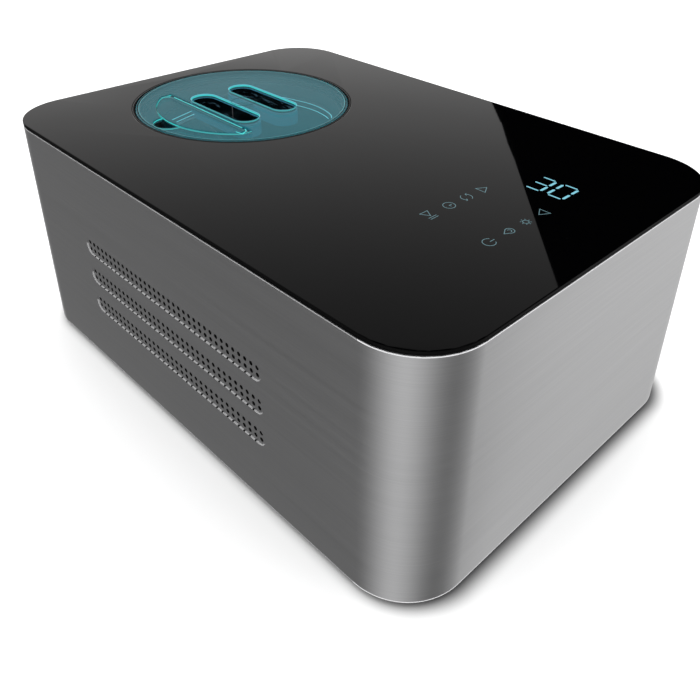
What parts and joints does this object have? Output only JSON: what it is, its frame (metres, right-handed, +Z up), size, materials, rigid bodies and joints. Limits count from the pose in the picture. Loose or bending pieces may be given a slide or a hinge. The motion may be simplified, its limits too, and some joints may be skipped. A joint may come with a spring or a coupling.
{
  "type": "ice cream maker",
  "caption": "Countertop compressor ice cream maker: steel box with rounded corners, black glass top, touch controls, and a round lid with a filler flap over a lift-out bowl and paddle.",
  "frame": {"origin": "on the floor under the middle of the housing", "axes": "+X along the long side from the bowl to the control panel, +Y from the vented front to the back, +Z up"},
  "size_m": [0.41, 0.286, 0.17],
  "materials": {
    "brushed_steel": "brushed along the length",
    "black_glass": "black glass, polished, opaque from the back",
    "black_plastic": "fine satin",
    "teal_plastic": "clear tinted plastic, polished",
    "aluminium": "bare, spun",
    "coated_bowl": "dark non-stick coating",
    "paddle_plastic": "moulded satin",
    "silicone": "soft matt",
    "rubber": "matt",
    "zinc_steel": "bright zinc plate",
    "compressor_paint": "black enamel",
    "copper": "drawn copper",
    "foam": "rigid foam skin",
    "circuit_board": "solder mask",
    "display": "moulded",
    "bakelite": "moulded"
  },
  "bodies": {
    "cabinet": {"steel_housing": "brushed_steel", "base_tray": "black_plastic", "foot_1": "rubber", "foot_2": "rubber", "foot_3": "rubber", "foot_4": "rubber", "foot_screw_1": "zinc_steel", "foot_screw_2": "zinc_steel", "foot_screw_3": "zinc_steel", "foot_screw_4": "zinc_steel", "top_frame": "black_plastic", "glass_top": "black_glass", "lid_seat_ring": "black_plastic", "cord_gland": "black_plastic", "cooling_well": "aluminium", "evaporator_coil": "copper", "insulation_jacket": "foam", "shaft_bearing": "bakelite", "shaft_seal": "silicone", "motor_plate": "zinc_steel", "plate_post_1": "zinc_steel", "plate_post_2": "zinc_steel", "plate_post_3": "zinc_steel", "plate_post_4": "zinc_steel", "motor_gearbox": "bakelite", "motor_can": "zinc_steel", "drive_belt": "rubber", "compressor_can": "compressor_paint", "compressor_plate": "zinc_steel", "compressor_grommet_1": "rubber", "compressor_grommet_2": "rubber", "compressor_grommet_3": "rubber", "compressor_grommet_4": "rubber", "compressor_terminal_cover": "bakelite", "condenser_fins": "aluminium", "condenser_tube": "copper", "fan_housing": "black_plastic", "discharge_pipe": "copper", "liquid_pipe": "copper", "filter_drier": "copper", "suction_pipe": "copper", "control_board": "circuit_board", "display_module": "display", "power_board": "circuit_board", "transformer": "display", "run_capacitor": "bakelite", "board_post_1": "black_plastic", "board_post_2": "black_plastic"},
    "shaft": {"drive_shaft": "zinc_steel", "drive_pulley": "paddle_plastic", "shaft_clip": "zinc_steel"},
    "motor_output": {"motor_pulley": "paddle_plastic"},
    "fan": {"fan_impeller": "paddle_plastic"},
    "bowl": {"bowl": "coated_bowl"},
    "bail": {"bail_handle": "zinc_steel"},
    "paddle": {"paddle": "paddle_plastic"},
    "lid": {"lid": "teal_plastic", "lid_seal": "silicone", "flap_hinge_pin": "zinc_steel"},
    "flap": {"filler_flap": "teal_plastic"}
  },
  "joints": [
    {"name": "bowl_lift", "type": "slide", "parent": "cabinet", "child": "bowl", "axis": [0, 0, 1], "range_m": [0, 0.15]},
    {"name": "lid_lift", "type": "slide", "parent": "bowl", "child": "lid", "axis": [0, 0, 1], "range_m": [0, 0.2]},
    {"name": "flap_hinge", "type": "hinge", "parent": "lid", "child": "flap", "pos_m": [-0.1075, -0.0335, 0.1681], "axis": [-1, 0, 0], "range_deg": [0, 90]},
    {"name": "bail_swing", "type": "hinge", "parent": "bowl", "child": "bail", "pos_m": [-0.1075, 0, 0.1525], "axis": [1, 0, 0], "range_deg": [0, 90]},
    {"name": "shaft_spin", "type": "hinge", "parent": "cabinet", "child": "shaft", "pos_m": [-0.1075, 0, 0.06], "axis": [0, 0, 1], "continuous": true},
    {"name": "paddle_spin", "type": "hinge", "parent": "bowl", "child": "paddle", "pos_m": [-0.1075, 0, 0.11], "axis": [0, 0, 1], "continuous": true},
    {"name": "motor_spin", "type": "hinge", "parent": "cabinet", "child": "motor_output", "pos_m": [0.012, 0, 0.026], "axis": [0, 0, 1], "continuous": true},
    {"name": "fan_spin", "type": "hinge", "parent": "cabinet", "child": "fan", "pos_m": [0.046, 0.12, 0.064], "axis": [0, 1, 0], "continuous": true}
  ],
  "couplings": [
    {"joint": "bail_swing", "follows": "lid_lift", "rad_per_m": 7.85},
    {"joint": "paddle_spin", "follows": "shaft_spin", "ratio": 1},
    {"joint": "motor_spin", "follows": "shaft_spin", "ratio": 4.717}
  ]
}
